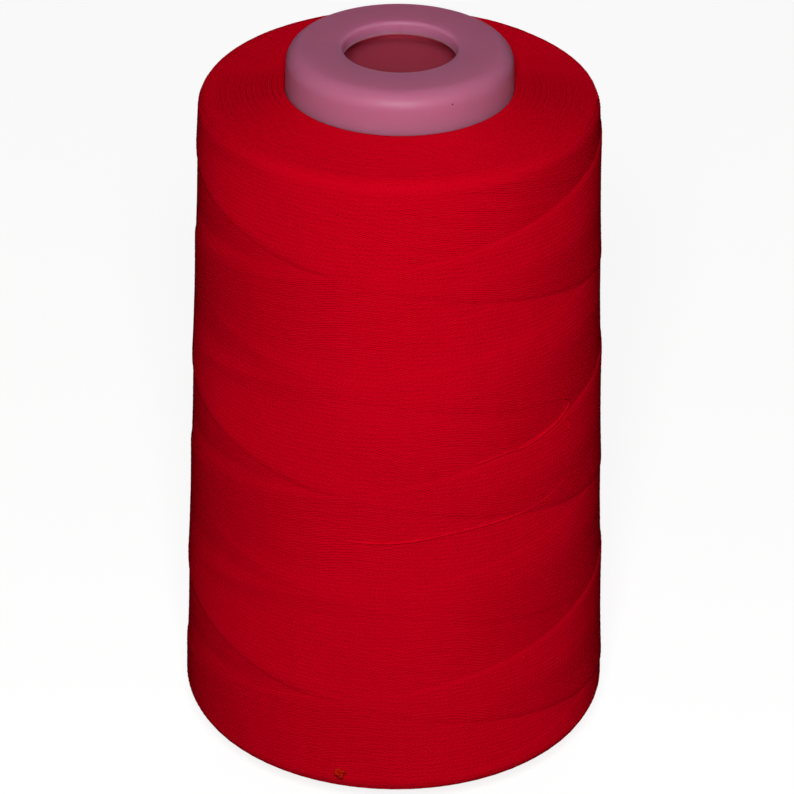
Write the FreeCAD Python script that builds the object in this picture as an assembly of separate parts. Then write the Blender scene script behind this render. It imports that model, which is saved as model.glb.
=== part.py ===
import FreeCAD, Part
import math
import os

# A wound cone of sewing thread: a moulded plastic tube with a rounded nose, the thread wound on
# it, and the knotted end of that thread. Millimetres. The tube's axis is Z, nose up, and its
# foot stands on Z = 0.

# The winding: its rims are the virtual corners between its side and its two shoulders
winding_height = 101.4
winding_foot_radius = 32.5
winding_nose_radius = 29.5
lower_rim_rounding = 2.5
upper_rim_rounding = 2.2
lower_shoulder_rise = 2.0
upper_shoulder_rise = 1.9

# The tube's wall, seen from outside: a slight cone under the winding
barrel_foot_radius = 19.2
barrel_nose_radius = 16.0
wall = 1.8

# The tube's foot, a flange that the winding stands on
foot_overhang = 1.1
foot_height = 3.0
foot_outer_rounding = 0.6
foot_inner_rounding = 0.4
land_height = 4.5

# The nose, which stands out of the winding's upper shoulder
nose_overhang = 0.7
nose_height = 5.5
nose_seat_depth = 1.0
nose_draft = 0.25
nose_edge_rounding = 2.4
nose_hole_radius = 8.3
nose_hole_rounding = 0.5
lip_thickness = 2.0
lip_corner_rounding = 1.4

# Rings round the barrel that keep the first layer from slipping
grip_ring_count = 7
grip_ring_section = 0.3
grip_ring_margin = 12.0

# The notch in the foot that catches the starting end of the thread
notch_width = 1.4
notch_depth = 1.2
notch_angle = 200.0

# The knot on the finished end, tucked against the winding's side just above its lower rim
knot_radius = 0.9
knot_angle = 256.0
knot_rim_distance = 3.4

# Between the innermost layer and the tube
winding_gap = 0.05

# Heights that follow from the sizes above
lower_rim_z = foot_height + lower_shoulder_rise
upper_rim_z = lower_rim_z + winding_height
shoulder_top_z = upper_rim_z + upper_shoulder_rise
nose_seat_z = shoulder_top_z - nose_seat_depth
nose_top_z = shoulder_top_z + nose_height

# Radii that follow from the sizes above
foot_radius = barrel_foot_radius + foot_overhang
nose_radius = barrel_nose_radius + nose_overhang

AXIS = FreeCAD.Vector(0, 0, 1)
ORIGIN = FreeCAD.Vector(0, 0, 0)


def barrel_radius(z):
    """The barrel's outer radius at height z, on a cone from the foot to the nose."""
    share = (z - foot_height) / (nose_seat_z - foot_height)
    return barrel_foot_radius + share * (barrel_nose_radius - barrel_foot_radius)


def bore_radius(z):
    """The barrel's inner radius at height z."""
    return barrel_radius(z) - wall


def rounded_outline(corners):
    """A closed wire in the XZ plane through corners of (radius, height, rounding)."""
    edges = []
    ends = []
    for i, (x, z, rounding) in enumerate(corners):
        here = FreeCAD.Vector(x, 0, z)
        back = FreeCAD.Vector(corners[i - 1][0], 0, corners[i - 1][1]) - here
        ahead_x, ahead_z, _ = corners[(i + 1) % len(corners)]
        ahead = FreeCAD.Vector(ahead_x, 0, ahead_z) - here
        if rounding == 0:
            ends.append((here, here))
            continue
        half_angle = back.getAngle(ahead) / 2
        back.normalize()
        ahead.normalize()
        inward = (back + ahead).normalize()
        start = here + back * (rounding / math.tan(half_angle))
        end = here + ahead * (rounding / math.tan(half_angle))
        middle = here + inward * (rounding / math.sin(half_angle) - rounding)
        edges.append(Part.Arc(start, middle, end).toShape())
        ends.append((start, end))
    for i, (start, _) in enumerate(ends):
        edges.append(Part.LineSegment(ends[i - 1][1], start).toShape())
    return Part.Wire(Part.__sortEdges__(edges))


def lathe(corners):
    """The solid swept by a rounded outline round the axis."""
    return Part.Face(rounded_outline(corners)).revolve(ORIGIN, AXIS, 360)


def grip_ring_heights():
    """The heights of the grip rings, evenly spaced along the barrel."""
    lowest = foot_height + grip_ring_margin
    highest = nose_seat_z - grip_ring_margin
    step = (highest - lowest) / (grip_ring_count - 1)
    return [lowest + i * step for i in range(grip_ring_count)]


def grip_ring(z, section):
    """One ring of round section, half sunk in the barrel."""
    return Part.makeTorus(barrel_radius(z), section, FreeCAD.Vector(0, 0, z), AXIS)


def tail_notch():
    """The cutter for the notch in the foot, a slot that runs in from the foot's edge."""
    slot = Part.makeBox(foot_radius, notch_width, 2 * foot_height)
    slot.translate(FreeCAD.Vector(foot_radius - notch_depth, -notch_width / 2, -foot_height))
    root = Part.makeCylinder(notch_width / 2, 2 * foot_height)
    root.translate(FreeCAD.Vector(foot_radius - notch_depth, 0, -foot_height))
    cutter = slot.fuse(root)
    cutter.rotate(ORIGIN, AXIS, notch_angle)
    return cutter


def tube_core():
    """The tube in one moulding: foot, barrel with its grip rings, and nose with its hole."""
    lip_z = nose_top_z - lip_thickness
    body = lathe([
        (bore_radius(land_height), 0, foot_inner_rounding),
        (foot_radius, 0, foot_outer_rounding),
        (foot_radius, foot_height, foot_inner_rounding),
        (barrel_radius(foot_height), foot_height, 0),
        (barrel_radius(nose_seat_z), nose_seat_z, 0),
        (nose_radius, nose_seat_z, 0),
        (nose_radius - nose_draft, nose_top_z, nose_edge_rounding),
        (nose_hole_radius, nose_top_z, nose_hole_rounding),
        (nose_hole_radius, lip_z, 0),
        (bore_radius(nose_seat_z), lip_z, lip_corner_rounding),
        (bore_radius(nose_seat_z), nose_seat_z, 0),
        (bore_radius(land_height), land_height, 0),
    ])
    for z in grip_ring_heights():
        # The hollow side of each ring's section stays inside the wall
        body = body.fuse(grip_ring(z, grip_ring_section))
    return body.cut(tail_notch()).removeSplitter()


def tube_envelope(gap):
    """The filled space that the tube takes inside the winding, grown by gap at its sides."""
    filled = lathe([
        (0, foot_height, 0),
        (barrel_radius(foot_height) + gap, foot_height, 0),
        (barrel_radius(nose_seat_z) + gap, nose_seat_z - gap, 0),
        (nose_radius + gap, nose_seat_z - gap, 0),
        (nose_radius + gap, nose_top_z, 0),
        (0, nose_top_z, 0),
    ])
    for z in grip_ring_heights():
        filled = filled.fuse(grip_ring(z, grip_ring_section + gap))
    return filled


def thread_package():
    """The whole winding as one soft solid, standing on the foot and closed round the tube."""
    outside = lathe([
        (0, foot_height, 0),
        (foot_radius, foot_height, 0),
        (winding_foot_radius, lower_rim_z, lower_rim_rounding),
        (winding_nose_radius, upper_rim_z, upper_rim_rounding),
        (nose_radius, shoulder_top_z, 0),
        (0, shoulder_top_z, 0),
    ])
    return outside.cut(tube_envelope(winding_gap)).removeSplitter()


def winding_radius(z):
    """The winding's radius at height z, between its two rims."""
    share = (z - lower_rim_z) / winding_height
    return winding_foot_radius + share * (winding_nose_radius - winding_foot_radius)


def thread_end_knot(package):
    """The knot on the finished end of the thread, half sunk in the winding's side."""
    up = lower_rim_z + knot_rim_distance
    around = math.radians(knot_angle)
    out = FreeCAD.Vector(math.cos(around), math.sin(around), 0) * winding_radius(up)
    place = out + FreeCAD.Vector(0, 0, up)
    return Part.makeSphere(knot_radius, place).cut(package)


def write_parts():
    """One STEP file for each piece."""
    os.makedirs("parts", exist_ok=True)
    package = thread_package()
    shapes = {
        "tube_core": tube_core(),
        "thread_package": package,
        "thread_end_knot": thread_end_knot(package),
    }
    for name, shape in shapes.items():
        shape.exportStep(f"parts/{name}.step")
        print(name, "valid", shape.isValid(), "solids", len(shape.Solids), "mm3", round(shape.Volume))


write_parts()
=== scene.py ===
"""A wound cone of sewing thread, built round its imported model: the tube, the winding and the stage."""

import math

import bmesh
import bpy
import numpy as np
from bpy.props import FloatProperty, FloatVectorProperty, IntProperty, PointerProperty
from mathutils import Euler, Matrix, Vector


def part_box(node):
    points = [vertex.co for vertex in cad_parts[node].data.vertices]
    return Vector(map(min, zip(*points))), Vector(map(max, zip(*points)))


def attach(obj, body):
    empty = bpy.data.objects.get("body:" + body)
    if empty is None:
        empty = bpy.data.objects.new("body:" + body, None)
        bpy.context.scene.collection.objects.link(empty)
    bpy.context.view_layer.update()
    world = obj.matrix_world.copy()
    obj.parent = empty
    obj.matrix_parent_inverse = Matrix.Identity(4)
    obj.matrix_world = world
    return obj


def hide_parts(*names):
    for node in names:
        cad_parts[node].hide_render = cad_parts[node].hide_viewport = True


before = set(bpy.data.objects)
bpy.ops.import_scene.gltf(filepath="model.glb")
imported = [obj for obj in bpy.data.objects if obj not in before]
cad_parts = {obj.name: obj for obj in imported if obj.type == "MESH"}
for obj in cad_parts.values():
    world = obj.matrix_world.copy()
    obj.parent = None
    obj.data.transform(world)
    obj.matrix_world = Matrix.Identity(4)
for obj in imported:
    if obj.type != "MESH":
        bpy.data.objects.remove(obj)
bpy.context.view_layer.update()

bl_info = {
    "name": "Wound Thread Cone",
    "version": (1, 0, 0),
    "blender": (4, 5, 0),
    "location": "3D View > Sidebar > Thread Cone",
    "description": "Models a cross-wound cone of sewing thread on its moulded tube",
    "category": "Add Mesh",
}

BODY = "root"
MM = 0.001
TURN = 2 * math.pi

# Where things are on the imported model
TUBE_LOW, TUBE_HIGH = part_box("tube_core")
WINDING_LOW, WINDING_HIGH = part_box("thread_package")
KNOT_LOW, KNOT_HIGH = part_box("thread_end_knot")
KNOT_CENTRE = (KNOT_LOW + KNOT_HIGH) / 2


# Settings


class TubeSettings(bpy.types.PropertyGroup):
    """Sizes and colours of the moulded tube."""

    barrel_foot_radius: FloatProperty(
        name="Barrel radius at the foot",
        description="Outer radius of the barrel where it meets the foot",
        default=19.2 * MM,
        unit="LENGTH",
    )
    barrel_nose_radius: FloatProperty(
        name="Barrel radius at the nose",
        description="Outer radius of the barrel where it meets the nose",
        default=16.0 * MM,
        unit="LENGTH",
    )
    wall: FloatProperty(
        name="Wall",
        description="Thickness of the barrel's wall",
        default=1.8 * MM,
        unit="LENGTH",
    )
    nose_overhang: FloatProperty(
        name="Nose overhang",
        description="How far the nose stands out past the barrel",
        default=0.7 * MM,
        unit="LENGTH",
    )
    nose_seat_depth: FloatProperty(
        name="Nose seat depth",
        description="How far the nose goes down into the winding",
        default=1.0 * MM,
        unit="LENGTH",
    )
    nose_draft: FloatProperty(
        name="Nose draft",
        description="How much narrower the nose is at its top",
        default=0.25 * MM,
        unit="LENGTH",
    )
    nose_rounding: FloatProperty(
        name="Nose rounding",
        description="Radius of the rounding round the top of the nose",
        default=2.4 * MM,
        unit="LENGTH",
    )
    hole_radius: FloatProperty(
        name="Hole radius",
        description="Radius of the hole for the spool pin",
        default=8.3 * MM,
        unit="LENGTH",
    )
    hole_rounding: FloatProperty(
        name="Hole rounding",
        description="Radius of the rounding round the top of the hole",
        default=0.5 * MM,
        unit="LENGTH",
    )
    lip_thickness: FloatProperty(
        name="Lip thickness",
        description="Thickness of the nose at its hole",
        default=2.0 * MM,
        unit="LENGTH",
    )
    lip_corner_rounding: FloatProperty(
        name="Lip corner rounding",
        description="Radius of the corner between the lip's underside and the bore",
        default=1.4 * MM,
        unit="LENGTH",
    )
    foot_rounding: FloatProperty(
        name="Foot rounding",
        description="Radius of the rounding round the outside of the foot's underside",
        default=0.6 * MM,
        unit="LENGTH",
    )
    foot_edge_rounding: FloatProperty(
        name="Foot edge rounding",
        description="Radius of the roundings of the foot's other two edges",
        default=0.4 * MM,
        unit="LENGTH",
    )
    foot_height: FloatProperty(
        name="Foot height",
        description="Height of the flange that the winding stands on",
        default=3.0 * MM,
        unit="LENGTH",
    )
    land_height: FloatProperty(
        name="Land height",
        description="Height of the straight part of the bore in the foot",
        default=4.5 * MM,
        unit="LENGTH",
    )
    grip_rings: IntProperty(
        name="Grip rings",
        description="Rings on the barrel that hold the winding",
        default=7,
        min=0,
    )
    notch_width: FloatProperty(
        name="Notch width",
        description="Width of the notch that catches the thread's start",
        default=1.4 * MM,
        unit="LENGTH",
    )
    notch_depth: FloatProperty(
        name="Notch depth",
        description="Depth of the notch that catches the thread's start",
        default=1.2 * MM,
        unit="LENGTH",
    )
    notch_angle: FloatProperty(
        name="Notch angle",
        description="Direction of the notch round the axis",
        default=math.radians(200),
        subtype="ANGLE",
    )
    steps: IntProperty(
        name="Steps",
        description="Faces round the tube",
        default=144,
        min=24,
    )
    colour: FloatVectorProperty(
        name="Tube colour",
        description="Colour of the tube's plastic",
        default=(0.50, 0.15, 0.26),
        subtype="COLOR",
        min=0,
        max=1,
    )


class WindingSettings(bpy.types.PropertyGroup):
    """Sizes of the winding and of the thread in it."""

    foot_radius: FloatProperty(
        name="Lower rim radius",
        description="Radius of the winding at the corner between its side and its lower shoulder",
        default=32.5 * MM,
        unit="LENGTH",
    )
    nose_radius: FloatProperty(
        name="Upper rim radius",
        description="Radius of the winding at the corner between its side and its upper shoulder",
        default=29.3 * MM,
        unit="LENGTH",
    )
    lower_rise: FloatProperty(
        name="Lower shoulder rise",
        description="Height from the winding's underside to its lower rim",
        default=2.0 * MM,
        unit="LENGTH",
    )
    upper_rise: FloatProperty(
        name="Upper shoulder rise",
        description="Height from the upper rim to the top of the winding",
        default=1.9 * MM,
        unit="LENGTH",
    )
    lower_rounding: FloatProperty(
        name="Lower rim rounding",
        description="Radius of the rounding of the lower rim",
        default=2.5 * MM,
        unit="LENGTH",
    )
    upper_rounding: FloatProperty(
        name="Upper rim rounding",
        description="Radius of the rounding of the upper rim",
        default=2.2 * MM,
        unit="LENGTH",
    )
    thread_radius: FloatProperty(
        name="Thread radius",
        description="Radius of the thread as it lies in the winding",
        default=0.172 * MM,
        unit="LENGTH",
    )
    cycles: IntProperty(
        name="Cycles",
        description="How many times the thread goes up and down the outermost layer",
        default=128,
        min=2,
    )
    turns_per_cycle: IntProperty(
        name="Turns per cycle",
        description="Turns round the tube while the thread goes up and down once",
        default=6,
        min=2,
    )
    overrun: FloatProperty(
        name="Overrun",
        description="How far past each rim the thread would reach if it turned back sharply",
        default=2.5 * MM,
        unit="LENGTH",
    )
    ribbon_height: FloatProperty(
        name="Ribbon height",
        description="Height at which a ribbon's edge crosses the front of the winding",
        default=58.0 * MM,
        unit="LENGTH",
    )
    ribbon_rise: FloatProperty(
        name="Ribbon rise",
        description="How much the newest thread of a ribbon stands above the oldest",
        default=0.34 * MM,
        unit="LENGTH",
    )
    settled: FloatProperty(
        name="Settled",
        description="How far the outermost layer has sunk on average",
        default=0.08 * MM,
        unit="LENGTH",
    )
    wander: FloatProperty(
        name="Wander",
        description="How far the thread strays from its even course",
        default=0.05 * MM,
        unit="LENGTH",
    )
    shoulder_pitch: FloatProperty(
        name="Shoulder pitch",
        description="Distance between neighbouring wraps on the shoulders",
        default=0.29 * MM,
        unit="LENGTH",
    )
    edge_dip: FloatProperty(
        name="Edge dip",
        description="How far the shoulders dip where they meet the tube",
        default=0.5 * MM,
        unit="LENGTH",
    )
    points_per_turn: FloatProperty(
        name="Points per turn",
        description="Points on the thread in each turn round the tube",
        default=64.4,
        min=12,
    )
    lengths: IntProperty(
        name="Lengths",
        description="How many pieces the outermost layer is made in",
        default=4,
        min=1,
    )
    dip_reach: FloatProperty(
        name="Dip reach",
        description="Distance from the tube over which the shoulders' dip fades away",
        default=0.9 * MM,
        unit="LENGTH",
    )
    unevenness: FloatProperty(
        name="Unevenness",
        description="How far the thread rises and sinks along its course",
        default=0.015 * MM,
        unit="LENGTH",
    )
    shoulder_wander: FloatProperty(
        name="Shoulder wander",
        description="How far the thread strays on the shoulders",
        default=0.035 * MM,
        unit="LENGTH",
    )
    knot_size: FloatProperty(
        name="Knot size",
        description="A third of the radius of the knot's loops",
        default=0.23 * MM,
        unit="LENGTH",
    )
    knot_thread_radius: FloatProperty(
        name="Knot thread radius",
        description="Radius of the thread in the knot, where it is slack",
        default=0.25 * MM,
        unit="LENGTH",
    )
    knot_stand_off: FloatProperty(
        name="Knot stand-off",
        description="How far the knot stands out past the middle of its packed solid",
        default=0.22 * MM,
        unit="LENGTH",
    )
    knot_colour: FloatVectorProperty(
        name="Knot colour",
        description="Colour of the knotted end, which has been handled and has browned",
        default=(0.55, 0.011, 0.003),
        subtype="COLOR",
        min=0,
        max=1,
    )
    colour: FloatVectorProperty(
        name="Thread colour",
        description="Colour of the thread",
        default=(0.64, 0.0, 0.0115),
        subtype="COLOR",
        min=0,
        max=1,
    )


class StageSettings(bpy.types.PropertyGroup):
    """The camera, the lamps and the floor."""

    distance: FloatProperty(
        name="Camera distance",
        description="From the camera to the middle of the winding",
        default=0.65,
        unit="LENGTH",
    )
    elevation: FloatProperty(
        name="Camera elevation",
        description="How far above the horizontal the camera stands",
        default=0.5258,
        subtype="ANGLE",
    )
    roll: FloatProperty(
        name="Camera roll",
        description="How far the camera leans to its side",
        default=0.0104,
        subtype="ANGLE",
    )
    lens: FloatProperty(
        name="Lens",
        description="Focal length, in millimetres",
        default=194.98,
        subtype="DISTANCE_CAMERA",
    )
    shift_x: FloatProperty(name="Shift X", description="Sideways shift of the frame", default=0.0006)
    shift_y: FloatProperty(name="Shift Y", description="Upward shift of the frame", default=-0.0031)
    key_power: FloatProperty(
        name="Key power", description="Power of the front lamp", default=2.52, unit="POWER"
    )
    back_power: FloatProperty(
        name="Back power", description="Power of the lamp behind", default=7.5, unit="POWER"
    )
    below_power: FloatProperty(
        name="Power from below",
        description="Power of the lamp under the floor",
        default=0.25,
        unit="POWER",
    )
    sky: FloatProperty(
        name="Sky",
        description="Strength of the even light from all round",
        default=0.025,
    )
    backdrop: FloatProperty(
        name="Backdrop",
        description="Brightness that the camera sees behind the object",
        default=0.95,
    )
    floor_size: FloatProperty(
        name="Floor size", description="Width of the floor", default=6.0, unit="LENGTH"
    )


def tube_settings():
    return bpy.context.scene.cone_tube


def winding_settings():
    return bpy.context.scene.cone_winding


def stage_settings():
    return bpy.context.scene.cone_stage


# Shader graphs

# The Mix node's sockets for colours
MIX_FACTOR = 0
MIX_A = 6
MIX_B = 7
MIX_RESULT = 2


class Value:
    """An output socket that takes arithmetic: each operation adds its Math node."""

    def __init__(self, graph, socket):
        self.graph = graph
        self.socket = socket

    def _math(self, operation, *values):
        return self.graph.node("ShaderNodeMath", {"operation": operation}, dict(enumerate(values)))

    def __add__(self, other):
        return self._math("ADD", self, other)

    def __radd__(self, other):
        return self._math("ADD", other, self)

    def __sub__(self, other):
        return self._math("SUBTRACT", self, other)

    def __rsub__(self, other):
        return self._math("SUBTRACT", other, self)

    def __mul__(self, other):
        return self._math("MULTIPLY", self, other)

    def __rmul__(self, other):
        return self._math("MULTIPLY", other, self)

    def sine(self):
        return self._math("SINE", self)


class Graph:
    """The nodes of a new material or world."""

    def __init__(self, owner):
        owner.use_nodes = True
        self.owner = owner
        self.tree = owner.node_tree
        self.tree.nodes.clear()

    def node(self, kind, settings=None, inputs=None, output=0):
        """Adds a node: its settings are set first, then its sockets' values or links."""
        made = self.tree.nodes.new(kind)
        for key, value in (settings or {}).items():
            setattr(made, key, value)
        for key, value in (inputs or {}).items():
            if isinstance(value, Value):
                self.tree.links.new(value.socket, made.inputs[key])
            else:
                made.inputs[key].default_value = value
        return Value(self, made.outputs[output]) if made.outputs else None

    def place(self):
        """Object coordinates, in metres."""
        return self.node("ShaderNodeTexCoord", output="Object")

    def noise(self, scale, detail):
        """Perlin noise from 0 to 1 over object coordinates."""
        inputs = {"Vector": self.place(), "Scale": scale, "Detail": detail}
        return self.node("ShaderNodeTexNoise", {}, inputs)

    def mix(self, factor, a, b):
        """A colour between a and b."""
        settings = {"data_type": "RGBA", "clamp_factor": True}
        inputs = {MIX_FACTOR: factor, MIX_A: a, MIX_B: b}
        return self.node("ShaderNodeMix", settings, inputs, MIX_RESULT)

    def inside(self, radius, top):
        """1 within a radius of the axis and below a height, else 0."""
        multiply = {"operation": "MULTIPLY"}
        flat = self.node("ShaderNodeVectorMath", multiply, {0: self.place(), 1: (1, 1, 0)})
        reach = self.node("ShaderNodeVectorMath", {"operation": "LENGTH"}, {0: flat}, "Value")
        return self._below(reach, radius) * self._below(self.height(), top)

    def spot(self, centre, radius):
        """1 within a radius of a point, else 0."""
        inputs = {0: self.place(), 1: centre}
        away = self.node("ShaderNodeVectorMath", {"operation": "DISTANCE"}, inputs, "Value")
        return self._below(away, radius)

    def part(self, vector, axis):
        """One of a vector's parts: X, Y or Z."""
        return self.node("ShaderNodeSeparateXYZ", {}, {"Vector": vector}, axis)

    def height(self):
        """Height above the floor, in metres."""
        return self.part(self.place(), "Z")

    def ramp(self, value, start, end):
        """0 up to start, 1 from end on, and a smooth rise between them."""
        settings = {"interpolation_type": "SMOOTHSTEP"}
        inputs = {"Value": value, "From Min": start, "From Max": end}
        return self.node("ShaderNodeMapRange", settings, inputs)

    def _below(self, value, limit):
        return self.node("ShaderNodeMath", {"operation": "LESS_THAN"}, {0: value, 1: limit})

    def bump(self, height, strength, distance):
        inputs = {"Height": height, "Strength": strength, "Distance": distance}
        return self.node("ShaderNodeBump", {}, inputs)

    def finish(self, **inputs):
        """A Principled surface with these inputs, and the material it completes."""
        named = {key.replace("_", " "): value for key, value in inputs.items()}
        surface = self.node("ShaderNodeBsdfPrincipled", {}, named)
        self.node("ShaderNodeOutputMaterial", {}, {"Surface": surface})
        return self.owner


def shade(colour, factor):
    """A colour with alpha, factor times as bright."""
    return (*(channel * factor for channel in colour), 1.0)


def grey(level):
    return (level, level, level, 1.0)


# Materials

# How many plies are twisted into the thread
PLIES = 2.0

# The dark speck moulded into the nose, and the painted light in the bore and under the winding: red
# light from the thread through the plastic, with painted shade deep down, painted light near the nose
# and more painted light in the strip that the lip shades
SPECK_CENTRE = (7.58 * MM, -14.79 * MM, 111.85 * MM)
SPECK_RADIUS = 0.2 * MM
SPECK_COLOUR = (0.1, 0.006, 0.02, 1)
PAINTED_THREAD_LIGHT_DEEP = (0.26, 0.018, 0.04, 1)
PAINTED_THREAD_LIGHT_NOSE = (0.36, 0.032, 0.068, 1)
PAINTED_UNDER_LIP_LIGHT = (0.7, 0.12, 0.2, 1)


def thread_material(name="spun_thread", ply=True, colour=None):
    """Spun polyester: matte, with its fibres' unevenness and painted shade in the grooves between its
    two twisted plies.
    """
    colour = tuple(colour or winding_settings().colour)
    graph = Graph(bpy.data.materials.new(name))
    batch = graph.noise(45.0, 3.0)
    cloud = graph.noise(220.0, 2.0)
    base = graph.mix(batch, shade(colour, 0.86), shade(colour, 1.12))
    base = graph.mix(cloud * 0.5, base, shade(colour, 0.8))
    fibres = graph.noise(9000.0, 2.0)
    base = graph.mix(fibres * 0.35, base, shade(colour, 1.35))
    if ply:
        strand = graph.node("ShaderNodeUVMap", {"uv_map": "strand"})
        along = graph.part(strand, "X")
        around = graph.part(strand, "Y")
        # Painted shade: darker stripes where the grooves between the plies lie
        ply_groove_shade = ((along * PLIES + around) * TURN).sine()
        base = graph.mix(ply_groove_shade * 0.09 + 0.09, base, shade(colour, 0.62))
    normal = graph.bump(fibres, 0.35, 0.00006)
    return graph.finish(
        Base_Color=base,
        Roughness=0.85,
        Specular_IOR_Level=0.01,
        Normal=normal,
    )


def plastic_material():
    """Moulded polypropylene, waxy and slightly see-through, with painted red light from the thread in
    the bore and under the winding.
    """
    tube = tube_settings()
    colour = tuple(tube.colour)
    top = TUBE_HIGH.z
    graph = Graph(bpy.data.materials.new("tube_plastic"))
    flow = graph.noise(60.0, 3.0)
    base = graph.mix(flow, shade(colour, 0.93), shade(colour, 1.07))
    haze = graph.noise(900.0, 4.0)
    base = graph.mix(haze * 0.25, base, shade(colour, 1.18))
    bore = graph.inside(tube.barrel_nose_radius - tube.wall / 2, top - 1.7 * MM)
    covered = graph.inside(TUBE_HIGH.x, WINDING_HIGH.z - tube.nose_seat_depth)
    covered = covered * graph.ramp(graph.height(), 4 * MM, 20 * MM)
    # Painted shade deep in the bore, fading to painted light near the nose
    nose_light_ramp = graph.ramp(graph.height(), top - 21.8 * MM, top - 2.8 * MM)
    painted_bore_light = graph.mix(nose_light_ramp, PAINTED_THREAD_LIGHT_DEEP, PAINTED_THREAD_LIGHT_NOSE)
    # Painted light in the strip of the bore under the lip, which the lip shades
    lip_shadow_strip = graph.ramp(graph.height(), top - 5.9 * MM, top - 4.9 * MM)
    painted_bore_light = graph.mix(lip_shadow_strip, painted_bore_light, PAINTED_UNDER_LIP_LIGHT)
    # Paints the thread's red light, seen through the plastic, into the bore and the covered barrel
    base = graph.mix(1 - (1 - bore) * (1 - covered), base, painted_bore_light)
    base = graph.mix(graph.spot(SPECK_CENTRE, SPECK_RADIUS), base, SPECK_COLOUR)
    grain = graph.noise(2600.0, 3.0)
    normal = graph.bump(grain, 0.12, 0.00008)
    return graph.finish(
        Base_Color=base,
        Roughness=0.42 + 0.14 * haze,
        Specular_IOR_Level=0.35,
        Subsurface_Weight=1.0,
        Subsurface_Radius=(1.0, 0.6, 0.75),
        Subsurface_Scale=0.008,
        Normal=normal,
    )


def floor_material():
    """Matt paper that looks near white, throws little light back and hides nothing from below."""
    graph = Graph(bpy.data.materials.new("floor"))
    seen = graph.node("ShaderNodeLightPath", output="Is Camera Ray")
    dust = graph.noise(3.0, 2.0)
    shown = graph.mix(dust, grey(0.22), grey(0.25))
    paper = graph.node(
        "ShaderNodeBsdfPrincipled",
        {},
        {
            "Base Color": graph.mix(seen, grey(0.06), shown),
            "Roughness": 0.9,
            "Specular IOR Level": 0.1,
            "Emission Color": graph.mix(seen, grey(0), grey(0.87)),
            "Emission Strength": 1.0,
        },
    )
    clear = graph.node("ShaderNodeBsdfTransparent")
    below = graph.node("ShaderNodeNewGeometry", output="Backfacing")
    shadow = graph.node("ShaderNodeLightPath", output="Is Shadow Ray")
    through = 1 - (1 - below) * (1 - shadow)
    surface = graph.node("ShaderNodeMixShader", {}, {0: through, 1: paper, 2: clear})
    graph.node("ShaderNodeOutputMaterial", {}, {"Surface": surface})
    return graph.owner


def studio_world():
    """Faint even light, with a pale backdrop."""
    stage = stage_settings()
    graph = Graph(bpy.data.worlds.new("studio"))
    seen = graph.node("ShaderNodeLightPath", output="Is Camera Ray")
    strength = stage.sky + (stage.backdrop - stage.sky) * seen
    light = graph.node("ShaderNodeBackground", {}, {"Strength": strength})
    graph.node("ShaderNodeOutputWorld", {}, {"Surface": light})
    return graph.owner


# Mesh helpers

RING_TOLERANCE = 0.01 * MM
ROUND_SEGMENTS = 8


def ring_edges(bm, x, z):
    """The edges of the ring that the outline's point (x, z) swept."""

    def on_ring(vert):
        here = (math.hypot(vert.co.x, vert.co.y), vert.co.z)
        return math.dist(here, (x, z)) < RING_TOLERANCE

    return [edge for edge in bm.edges if all(on_ring(vert) for vert in edge.verts)]


def lathe(outline, steps):
    """A bmesh swept by a closed outline of (radius, height, rounding), each ring rounded."""
    bm = bmesh.new()
    corners = [bm.verts.new((x, 0, z)) for x, z, _ in outline]
    edges = [bm.edges.new((corners[i - 1], corner)) for i, corner in enumerate(corners)]
    bmesh.ops.spin(
        bm,
        geom=corners + edges,
        cent=(0, 0, 0),
        axis=(0, 0, 1),
        angle=TURN,
        steps=steps,
        use_merge=True,
    )
    bmesh.ops.recalc_face_normals(bm, faces=bm.faces)
    for x, z, rounding in outline:
        if rounding:
            bmesh.ops.bevel(
                bm,
                geom=ring_edges(bm, x, z),
                offset=rounding,
                offset_type="OFFSET",
                segments=ROUND_SEGMENTS,
                profile=0.5,
                affect="EDGES",
                material=-1,
            )
    return bm


def new_piece(name, bm, material, smooth_angle=None):
    """A mesh object made from a bmesh, smooth except across edges sharper than the angle."""
    mesh = bpy.data.meshes.new(name)
    bm.to_mesh(mesh)
    bm.free()
    mesh.materials.append(material)
    piece = bpy.data.objects.new(name, mesh)
    bpy.context.scene.collection.objects.link(piece)
    mesh.shade_smooth()
    if smooth_angle is not None:
        mesh.set_sharp_from_angle(angle=smooth_angle)
    return piece


# The winding's outline and the thread's course on it


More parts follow.
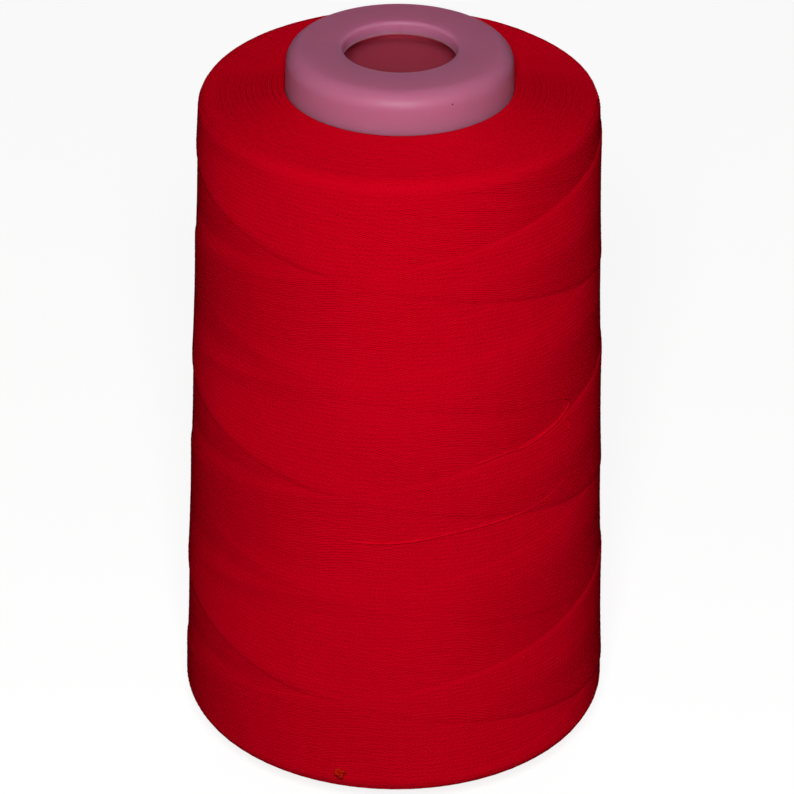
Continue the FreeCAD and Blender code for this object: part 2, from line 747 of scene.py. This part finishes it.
class Profile:
    """The winding's outline from its lower inner edge to its upper one, measured along it."""

    def __init__(self, corners, arc_points=24):
        places = []
        self.corner_at = []
        for i, (x, z, rounding) in enumerate(corners):
            here = Vector((x, z))
            if rounding == 0:
                places.append(here)
                self.corner_at.append(len(places) - 1)
                continue
            back = (Vector(corners[i - 1][:2]) - here).normalized()
            ahead = (Vector(corners[i + 1][:2]) - here).normalized()
            half = back.angle(ahead) / 2
            centre = here + (back + ahead).normalized() * (rounding / math.sin(half))
            start = here + back * (rounding / math.tan(half)) - centre
            sweep = math.pi - 2 * half
            self.corner_at.append(len(places) + arc_points // 2)
            for k in range(arc_points + 1):
                turn = sweep * k / arc_points
                places.append(
                    centre
                    + Vector(
                        (
                            start.x * math.cos(turn) - start.y * math.sin(turn),
                            start.x * math.sin(turn) + start.y * math.cos(turn),
                        )
                    )
                )
        self.x = np.array([p.x for p in places])
        self.z = np.array([p.y for p in places])
        steps = np.hypot(np.diff(self.x), np.diff(self.z))
        self.length = np.concatenate([[0], np.cumsum(steps)])

    def corner(self, index):
        """How far along the outline a corner's middle lies."""
        return self.length[self.corner_at[index]]

    def at_height(self, height):
        """How far along the outline its side reaches a height."""
        return float(np.interp(height, self.z, self.length))

    def place(self, along, depth):
        """Radius and height at these distances along the outline, sunk by depth."""
        x = np.interp(along, self.length, self.x)
        z = np.interp(along, self.length, self.z)
        nudge = 0.2 * MM
        dx = np.interp(along + nudge, self.length, self.x) - np.interp(
            along - nudge, self.length, self.x
        )
        dz = np.interp(along + nudge, self.length, self.z) - np.interp(
            along - nudge, self.length, self.z
        )
        size = np.hypot(dx, dz)
        return x - depth * dz / size, z + depth * dx / size


LOWER_RIM = 1
UPPER_RIM = 2
UPPER_EDGE = 3


def nose_radius():
    tube = tube_settings()
    return tube.barrel_nose_radius + tube.nose_overhang


def winding_profile():
    """The outline of the winding's outside."""
    winding = winding_settings()
    return Profile(
        [
            (TUBE_HIGH.x, WINDING_LOW.z, 0),
            (winding.foot_radius, WINDING_LOW.z + winding.lower_rise, winding.lower_rounding),
            (winding.nose_radius, WINDING_HIGH.z - winding.upper_rise, winding.upper_rounding),
            (nose_radius(), WINDING_HIGH.z, 0),
        ]
    )


def soft_noise(turned, seed, rates=(0.37, 0.93, 2.3, 5.1)):
    """Smooth noise from about -1 to 1 along the thread, the same each run."""
    rng = np.random.default_rng(seed)
    total = np.zeros_like(turned)
    for rate in rates:
        total += np.sin(turned * rate * (1 + 0.1 * rng.random()) + TURN * rng.random())
    return total / len(rates)


def bounced(cycle, tip):
    """A wave from 0 to 1 and back over each cycle, with its tips rounded over a share of it."""
    share = cycle % 1
    wave = 1 - np.abs(2 * share - 1)
    low = np.minimum(share, 1 - share)
    high = np.abs(share - 0.5)
    wave = np.where(low < tip, (low**2 + tip**2) / tip, wave)
    return np.where(high < tip, 1 - (high**2 + tip**2) / tip, wave)


def thread_mesh(name, points, radii, material):
    """A thread as a mesh tube along its points, with a map along and round it."""
    curve = bpy.data.curves.new(name, "CURVE")
    curve.dimensions = "3D"
    curve.twist_mode = "Z_UP"
    curve.bevel_mode = "ROUND"
    curve.bevel_depth = 1.0
    curve.bevel_resolution = 1
    spline = curve.splines.new("POLY")
    spline.points.add(len(points) - 1)
    spline.points.foreach_set("co", np.column_stack([points, np.ones(len(points))]).ravel())
    spline.points.foreach_set("radius", radii)
    holder = bpy.data.objects.new(name + "_path", curve)
    bpy.context.scene.collection.objects.link(holder)
    evaluated = holder.evaluated_get(bpy.context.evaluated_depsgraph_get())
    mesh = bpy.data.meshes.new_from_object(evaluated)
    mesh.name = name
    bpy.data.objects.remove(holder)
    bpy.data.curves.remove(curve)
    mesh.materials.clear()
    mesh.materials.append(material)
    map_thread(mesh, points)
    bm = bmesh.new()
    bm.from_mesh(mesh)
    bmesh.ops.holes_fill(bm, edges=[edge for edge in bm.edges if edge.is_boundary])
    bmesh.ops.recalc_face_normals(bm, faces=bm.faces)
    bm.to_mesh(mesh)
    bm.free()
    mesh.shade_smooth()
    piece = bpy.data.objects.new(name, mesh)
    bpy.context.scene.collection.objects.link(piece)
    return piece


# Length of one turn of the plies' twist
PLY_PITCH = 1.3 * MM
# Part of the flat map left free beyond each side, for faces that cross the seam
SEAM_MARGIN = 0.04
# Above this height the flat map runs inwards, so that the two shoulders don't share a place on it
FLAT_MAP_DIVIDE = 50 * MM


def map_thread(mesh, points):
    """Gives a thread's tube the map strand, in ply turns along it and once round it, and OFBake."""
    while mesh.uv_layers:
        mesh.uv_layers.remove(mesh.uv_layers[0])
    sides = len(mesh.vertices) // len(points)
    steps = np.linalg.norm(np.diff(points, axis=0), axis=1)
    along = np.concatenate([[0], np.cumsum(steps)]) / PLY_PITCH
    vertex = np.empty(len(mesh.loops), np.int32)
    mesh.loops.foreach_get("vertex_index", vertex)
    ring, side = vertex // sides, vertex % sides
    strand = np.column_stack([along[ring], side / sides]).astype(np.float32)
    mesh.uv_layers.new(name="strand").uv.foreach_set("vector", strand.ravel())
    place = np.empty(len(mesh.vertices) * 3)
    mesh.vertices.foreach_get("co", place)
    place = place.reshape(-1, 3)[vertex]
    around = np.arctan2(place[:, 1], place[:, 0]) / TURN + 0.5
    first = np.empty(len(mesh.polygons), np.int32)
    size = np.empty(len(mesh.polygons), np.int32)
    mesh.polygons.foreach_get("loop_start", first)
    mesh.polygons.foreach_get("loop_total", size)
    around -= np.round(around - np.repeat(around[first], size))
    around = SEAM_MARGIN + around * (1 - 2 * SEAM_MARGIN)
    direction = np.where(place[:, 2] > FLAT_MAP_DIVIDE, -1, 1)
    reach = np.hypot(place[:, 0], place[:, 1]) + direction * place[:, 2]
    flat = np.column_stack([around, (reach - reach.min()) / np.ptp(reach)]).astype(np.float32)
    mesh.uv_layers.new(name="OFBake").uv.foreach_set("vector", flat.ravel())


def settle(piece, slot, *nodes):
    """Fastens a piece to the object's body and hides any CAD nodes that it stands for; the slot is not
    used.
    """
    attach(piece, BODY)
    if nodes:
        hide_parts(*nodes)


# The tube

# Corners of a grip ring's section, as (height, stand-out) from the barrel
GRIP_RING = (
    (-0.3 * MM, 0),
    (-0.15 * MM, 0.26 * MM),
    (0.15 * MM, 0.26 * MM),
    (0.3 * MM, 0),
)


def barrel_radius(height):
    """The barrel's outer radius at a height, on a cone from the foot to the nose."""
    tube = tube_settings()
    seat_z = WINDING_HIGH.z - tube.nose_seat_depth
    share = (height - tube.foot_height) / (seat_z - tube.foot_height)
    return tube.barrel_foot_radius + share * (tube.barrel_nose_radius - tube.barrel_foot_radius)


def grip_rings(seat_z):
    """Corners of the rings on the barrel that hold the winding, from the lowest up."""
    tube = tube_settings()
    corners = []
    for z in np.linspace(tube.foot_height, seat_z, tube.grip_rings + 2)[1:-1]:
        for rise, proud in GRIP_RING:
            height = float(z) + rise
            corners.append((barrel_radius(height) + proud, height, 0))
    return corners


def cut_notch(piece):
    """Cuts the slot in the foot that catches the thread's starting end."""
    tube = tube_settings()
    bm = bmesh.new()
    bmesh.ops.create_cube(bm, size=1)
    size = (2 * tube.notch_depth, tube.notch_width, 4 * tube.foot_height)
    bmesh.ops.scale(bm, vec=size, verts=bm.verts)
    upright = [edge for edge in bm.edges if abs((edge.verts[0].co - edge.verts[1].co).z) > MM]
    inner = [edge for edge in upright if edge.verts[0].co.x < 0]
    # Just under half the width, which makes the slot's inner end round
    bmesh.ops.bevel(
        bm,
        geom=inner,
        offset=tube.notch_width * 0.49,
        segments=ROUND_SEGMENTS,
        profile=0.5,
        affect="EDGES",
        material=-1,
    )
    bmesh.ops.translate(bm, vec=(TUBE_HIGH.x, 0, 0), verts=bm.verts)
    turn = Euler((0, 0, tube.notch_angle)).to_matrix()
    bmesh.ops.rotate(bm, cent=(0, 0, 0), matrix=turn, verts=bm.verts)
    cutter = new_piece("notch_cutter", bm, piece.data.materials[0])
    cut = piece.modifiers.new("notch", "BOOLEAN")
    cut.operation = "DIFFERENCE"
    cut.solver = "EXACT"
    cut.object = cutter
    evaluated = piece.evaluated_get(bpy.context.evaluated_depsgraph_get())
    mesh = bpy.data.meshes.new_from_object(evaluated)
    piece.modifiers.clear()
    piece.data = mesh
    bpy.data.objects.remove(cutter)


class CONE_OT_tube(bpy.types.Operator):
    """Lathes the moulded tube, with its nose, bore, grip rings, foot and tail notch"""

    bl_idname = "cone.tube"
    bl_label = "Add Tube"

    def execute(self, context):
        tube = tube_settings()
        seat_z = WINDING_HIGH.z - tube.nose_seat_depth
        lip_z = TUBE_HIGH.z - tube.lip_thickness
        bore = tube.barrel_nose_radius - tube.wall
        land = barrel_radius(tube.land_height) - tube.wall
        outline = [
            (land, 0, tube.foot_edge_rounding),
            (TUBE_HIGH.x, 0, tube.foot_rounding),
            (TUBE_HIGH.x, tube.foot_height, tube.foot_edge_rounding),
            (tube.barrel_foot_radius, tube.foot_height, 0),
            *grip_rings(seat_z),
            (tube.barrel_nose_radius, seat_z, 0),
            (nose_radius(), seat_z, 0),
            (nose_radius() - tube.nose_draft, TUBE_HIGH.z, tube.nose_rounding),
            (tube.hole_radius, TUBE_HIGH.z, tube.hole_rounding),
            (tube.hole_radius, lip_z, 0),
            (bore, lip_z, tube.lip_corner_rounding),
            (bore, seat_z, 0),
            (land, tube.land_height, 0),
        ]
        bm = lathe(outline, tube.steps)
        piece = new_piece("moulded_tube", bm, plastic_material())
        cut_notch(piece)
        piece.data.shade_smooth()
        piece.data.set_sharp_from_angle(angle=math.radians(35))
        settle(piece, "tube_plastic", "tube_core")
        return {"FINISHED"}


# The winding

# Between the inner layers and the tube
BODY_GAP = 0.1 * MM
# Where the inner layers start to dip towards the nose, as a distance from it and a depth
DIP_START = 2.5 * MM
DIP_START_DEPTH = 0.3 * MM
# Shares of a cycle: the thread's turn back at a rim, how much that varies, and the change from the
# way up's pile to the way down's
TURN_BACK = 0.008
TURN_BACK_VARIATION = 0.005
PILE_CHANGE = 0.02
# How much the thread's thickness varies, as a share of it
THICKNESS_VARIATION = 0.07


class CONE_OT_winding_body(bpy.types.Operator):
    """Lathes the inner layers, which show only between the outermost wraps"""

    bl_idname = "cone.winding_body"
    bl_label = "Add Inner Layers"

    def execute(self, context):
        tube = tube_settings()
        winding = winding_settings()
        sunk = winding.thread_radius + winding.settled + winding.ribbon_rise / 2
        seat_z = WINDING_HIGH.z - tube.nose_seat_depth
        outline = [
            (tube.barrel_foot_radius + BODY_GAP, WINDING_LOW.z + BODY_GAP, 0),
            (TUBE_HIGH.x, WINDING_LOW.z + sunk, 0),
            (
                winding.foot_radius - sunk,
                WINDING_LOW.z + winding.lower_rise + sunk,
                winding.lower_rounding,
            ),
            (
                winding.nose_radius - sunk,
                WINDING_HIGH.z - winding.upper_rise - sunk,
                winding.upper_rounding,
            ),
            (nose_radius() + DIP_START, WINDING_HIGH.z - sunk - DIP_START_DEPTH, 0),
            (nose_radius() + BODY_GAP, WINDING_HIGH.z - sunk - winding.edge_dip, 0),
            (nose_radius() + BODY_GAP, seat_z - BODY_GAP, 0),
            (tube.barrel_nose_radius + BODY_GAP, seat_z - BODY_GAP, 0),
        ]
        bm = lathe(outline, tube.steps)
        material = thread_material("inner_thread", ply=False)
        piece = new_piece("inner_layers", bm, material, math.radians(40))
        settle(piece, "thread", "thread_package")
        return {"FINISHED"}


def pile_height(cycle, cycles, angle):
    """How high the thread lies at each point of its run, from about -1 to 1.

    Each new wrap lies beside the last and a little higher, over the whole layer and again over each
    half of it, and drops back where the newest wrap meets the oldest, which gives a ribbon its edge.
    The ribbons of the way up stand out on the right, and those of the way down on the left.
    """
    layer = cycle / cycles
    whole = 2 * layer - 1
    half = 2 * ((2 * layer) % 1) - 1
    share = cycle % 1
    falling = np.clip((share - 0.5) / PILE_CHANGE, 0, 1) * np.clip((1 - share) / PILE_CHANGE, 0, 1)
    pile = (0.35 * whole + 0.65 * whole**3) * (1 - np.abs(whole) ** 28)
    pile *= 1 + 0.25 * (1 - 2 * falling) * np.cos(angle)
    return pile + 0.42 * half**3 * (1 - half**16)


class CONE_OT_side_wraps(bpy.types.Operator):
    """Winds the outermost layer, one thread that crosses itself from rim to rim"""

    bl_idname = "cone.side_wraps"
    bl_label = "Wind the Side"

    def execute(self, context):
        winding = winding_settings()
        profile = winding_profile()
        low = profile.corner(LOWER_RIM) - winding.overrun
        high = profile.corner(UPPER_RIM) + winding.overrun
        turns = winding.turns_per_cycle - 1 / winding.cycles
        slope = 2 * (high - low) / (turns * TURN)
        start = -TURN / 4 - (profile.at_height(winding.ribbon_height) - low) / slope
        count = int(winding.cycles * turns * winding.points_per_turn)
        turned = np.arange(count) * TURN / winding.points_per_turn
        cycle = turned / (turns * TURN)
        tip = TURN_BACK + TURN_BACK_VARIATION * soft_noise(turned, 3, (0.11, 0.29))
        along = low + (high - low) * bounced(cycle, tip)
        along += winding.wander * soft_noise(turned, 5)
        angle = start + turned
        pile = pile_height(cycle, winding.cycles, angle)
        depth = winding.thread_radius + winding.settled - winding.ribbon_rise * pile / 2
        depth += winding.unevenness * soft_noise(turned, 7)
        x, z = profile.place(along, depth)
        points = np.column_stack([x * np.cos(angle), x * np.sin(angle), z])
        thickness = 1 + THICKNESS_VARIATION * soft_noise(turned, 11, (7.1, 13.7, 29.3))
        radii = winding.thread_radius * thickness
        material = thread_material()
        per_length = count // winding.lengths + 1
        for i in range(winding.lengths):
            part = slice(i * per_length, (i + 1) * per_length + 1)
            name = f"outer_wraps_{i + 1}"
            settle(thread_mesh(name, points[part], radii[part], material), "thread")
        return {"FINISHED"}


class CONE_OT_shoulder_wraps(bpy.types.Operator):
    """Lays the wraps that show on the upper and lower shoulders"""

    bl_idname = "cone.shoulder_wraps"
    bl_label = "Wind the Shoulders"

    def execute(self, context):
        winding = winding_settings()
        profile = winding_profile()
        inset = winding.thread_radius
        rows = (
            ("upper_shoulder_wraps", profile.corner(UPPER_RIM), profile.corner(UPPER_EDGE) - inset),
            ("lower_shoulder_wraps", profile.corner(LOWER_RIM), inset),
        )
        for seed, (name, outer, inner) in enumerate(rows):
            turns = abs(inner - outer) / winding.shoulder_pitch
            count = int(turns * winding.points_per_turn)
            turned = np.arange(count) * TURN / winding.points_per_turn
            along = outer + (inner - outer) * turned / (turns * TURN)
            room = np.minimum(np.abs(along - inner), winding.shoulder_wander)
            along += room * soft_noise(turned, 20 + seed, (0.61, 1.37, 2.21))
            rises = soft_noise(turned, 30 + seed, (0.23, 0.71, 1.9))
            depth = winding.thread_radius + winding.unevenness * rises
            depth += winding.edge_dip * np.exp(-np.abs(along - inner) / winding.dip_reach)
            x, z = profile.place(along, depth)
            points = np.column_stack([x * np.cos(turned), x * np.sin(turned), z])
            radii = np.full(len(points), winding.thread_radius)
            material = thread_material(name + "_thread")
            settle(thread_mesh(name, points, radii, material), "thread")
        return {"FINISHED"}


class CONE_OT_end_knot(bpy.types.Operator):
    """Ties the knot on the thread's finished end"""

    bl_idname = "cone.end_knot"
    bl_label = "Tie the End Knot"

    def execute(self, context):
        winding = winding_settings()
        # A trefoil, whose loop crosses itself three times
        turn = np.linspace(0, TURN, 60, endpoint=False)
        size = winding.knot_size
        across = size * (np.sin(turn) + 2 * np.sin(2 * turn))
        up = size * (np.cos(turn) - 2 * np.cos(2 * turn))
        out = -size * 0.9 * np.sin(3 * turn)
        facing = math.atan2(KNOT_CENTRE.y, KNOT_CENTRE.x)
        reach = math.hypot(KNOT_CENTRE.x, KNOT_CENTRE.y) + winding.knot_stand_off + out
        x = reach * math.cos(facing) - across * math.sin(facing)
        y = reach * math.sin(facing) + across * math.cos(facing)
        points = np.column_stack([x, y, KNOT_CENTRE.z + up])
        points = np.vstack([points, points[:1]])
        radii = np.full(len(points), winding.knot_thread_radius)
        material = thread_material("knot_thread", colour=winding.knot_colour)
        piece = thread_mesh("end_knot", points, radii, material)
        settle(piece, "thread", "thread_end_knot")
        return {"FINISHED"}


# Each wrap's name, thread radius and stops. A stop is (degrees round, height, stand-off), where a
# wrap dives into the winding at a stand-off below zero. All lengths are in millimetres.
STRAY_WRAPS = (
    (
        "loose_wrap",
        0.14,
        (
            (290, 60.2, -0.3),
            (296, 60.9, -0.05),
            (302, 61.3, 0.02),
            (308, 61.3, 0.05),
            (314, 62.0, 0.08),
            (320, 62.9, 0.1),
            (325, 64.4, 0.15),
            (324.6, 65.6, 0.25),
            (322.6, 66.3, 0.15),
        ),
    ),
    (
        "loose_tail",
        0.10,
        (
            (322.0, 62.0, -0.2),
            (323.8, 62.6, 0.2),
            (325.6, 61.6, 0.25),
            (325.0, 60.4, 0.2),
        ),
    ),
    (
        "slipped_wrap",
        0.17,
        (
            (250, 48.4, -0.5),
            (258, 48.4, -0.16),
            (266, 48.5, -0.08),
            (275, 48.9, -0.05),
            (285, 49.7, -0.05),
            (297, 50.1, -0.08),
            (309, 50.4, -0.08),
            (317, 51.1, -0.12),
            (326, 52.4, -0.2),
            (333, 53.4, -0.5),
        ),
    ),
)


def eased(route, steps=14):
    """Points along a smooth line through a route's (angle, height, stand-off) stops."""
    stops = np.array(route)
    stops = np.vstack([2 * stops[0] - stops[1], stops, 2 * stops[-1] - stops[-2]])
    share = np.linspace(0, 1, steps, endpoint=False)[:, None]
    runs = []
    for a, b, c, d in zip(stops, stops[1:], stops[2:], stops[3:], strict=False):
        curve = 2 * b + (c - a) * share + (2 * a - 5 * b + 4 * c - d) * share**2
        runs.append((curve + (3 * b - 3 * c + d - a) * share**3) / 2)
    return np.vstack(runs)


class CONE_OT_stray_wraps(bpy.types.Operator):
    """Lays the wraps that have worked loose and stand proud of the side"""

    bl_idname = "cone.stray_wraps"
    bl_label = "Lay the Stray Wraps"

    def execute(self, context):
        winding = winding_settings()
        profile = winding_profile()
        # Painted light: the stray wraps' thread is a tenth lighter, for the light they catch standing
        # proud
        colour = shade(winding.colour, 1.1)[:3]
        material = thread_material("stray_thread", colour=colour)
        for name, radius, route in STRAY_WRAPS:
            line = eased(route)
            angle = np.radians(line[:, 0])
            along = np.interp(line[:, 1] * MM, profile.z, profile.length)
            x, z = profile.place(along, -line[:, 2] * MM)
            points = np.column_stack([x * np.cos(angle), x * np.sin(angle), z])
            radii = np.full(len(points), radius * MM)
            settle(thread_mesh(name, points, radii, material), "thread")
        return {"FINISHED"}


# The stage

# Each lamp's name, its degrees round from the front and above the horizontal, its distance and its
# width in metres, and whether it makes highlights
LAMPS = (
    ("key", -0.8, 37, 0.56, 0.1, True),
    ("back", 180, 2, 1.1, 0.4, False),
    ("below", 0, -90, 0.4, 0.1, True),
)
# How far the floor lies below the foot, so that the two don't share a plane
FLOOR_DROP = 0.05 * MM


def add_lamp(name, azimuth, elevation, distance, size, power, target):
    """A square soft lamp, aimed at the target: azimuth and elevation are in degrees."""
    azimuth = math.radians(azimuth)
    elevation = math.radians(elevation)
    lamp = bpy.data.lights.new(name, "AREA")
    lamp.size = size
    lamp.energy = power
    holder = bpy.data.objects.new(name, lamp)
    flat = distance * math.cos(elevation)
    holder.location = target + Vector(
        (flat * math.sin(azimuth), -flat * math.cos(azimuth), distance * math.sin(elevation))
    )
    holder.rotation_euler = (target - holder.location).to_track_quat("-Z", "Y").to_euler()
    holder.visible_camera = False
    bpy.context.scene.collection.objects.link(holder)
    return holder


class CONE_OT_stage(bpy.types.Operator):
    """Sets up the camera, the lamps and the floor"""

    bl_idname = "cone.stage"
    bl_label = "Set the Stage"

    def execute(self, context):
        stage = stage_settings()
        winding = winding_settings()
        low = WINDING_LOW.z + winding.lower_rise
        high = WINDING_HIGH.z - winding.upper_rise
        target = Vector((0, 0, (low + high) / 2))
        camera = bpy.data.cameras.new("camera")
        camera.lens = stage.lens
        camera.shift_x = stage.shift_x
        camera.shift_y = stage.shift_y
        holder = bpy.data.objects.new("camera", camera)
        holder.location = target + stage.distance * Vector(
            (0, -math.cos(stage.elevation), math.sin(stage.elevation))
        )
        level = Euler((math.pi / 2 - stage.elevation, 0, 0)).to_matrix()
        lean = Euler((0, 0, stage.roll)).to_matrix()
        holder.rotation_euler = (level @ lean).to_euler()
        context.scene.collection.objects.link(holder)
        context.scene.camera = holder
        context.scene.view_settings.view_transform = "Standard"

        for name, azimuth, elevation, distance, size, glossy in LAMPS:
            power = getattr(stage, name + "_power")
            lamp = add_lamp(name, azimuth, elevation, distance, size, power, target)
            lamp.visible_glossy = glossy

        context.scene.world = studio_world()

        bm = bmesh.new()
        bmesh.ops.create_grid(bm, x_segments=8, y_segments=8, size=stage.floor_size / 2)
        bmesh.ops.translate(bm, vec=(0, 0, -FLOOR_DROP), verts=bm.verts)
        floor = new_piece("floor", bm, floor_material())
        return {"FINISHED"}


class CONE_PT_panel(bpy.types.Panel):
    """Lists the steps that build the thread cone"""

    bl_idname = "CONE_PT_panel"
    bl_label = "Thread Cone"
    bl_space_type = "VIEW_3D"
    bl_region_type = "UI"
    bl_category = "Thread Cone"

    def draw(self, context):
        layout = self.layout
        for step in STEPS:
            layout.operator(step.bl_idname)
        for group in (context.scene.cone_tube, context.scene.cone_winding, context.scene.cone_stage):
            box = layout.box()
            for key in group.__annotations__:
                box.prop(group, key)


STEPS = (
    CONE_OT_stage,
    CONE_OT_tube,
    CONE_OT_winding_body,
    CONE_OT_side_wraps,
    CONE_OT_shoulder_wraps,
    CONE_OT_end_knot,
    CONE_OT_stray_wraps,
)
GROUPS = {
    "cone_tube": TubeSettings,
    "cone_winding": WindingSettings,
    "cone_stage": StageSettings,
}


def register():
    for group in GROUPS.values():
        bpy.utils.register_class(group)
    for step in STEPS:
        bpy.utils.register_class(step)
    bpy.utils.register_class(CONE_PT_panel)
    for name, group in GROUPS.items():
        setattr(bpy.types.Scene, name, PointerProperty(type=group))


def unregister():
    for name in GROUPS:
        delattr(bpy.types.Scene, name)
    bpy.utils.unregister_class(CONE_PT_panel)
    for step in reversed(STEPS):
        bpy.utils.unregister_class(step)
    for group in reversed(GROUPS.values()):
        bpy.utils.unregister_class(group)


def main():
    register()
    bpy.ops.cone.stage()
    bpy.ops.cone.tube()
    bpy.ops.cone.winding_body()
    bpy.ops.cone.side_wraps()
    bpy.ops.cone.shoulder_wraps()
    bpy.ops.cone.end_knot()
    bpy.ops.cone.stray_wraps()


if __name__ == "__main__":
    main()
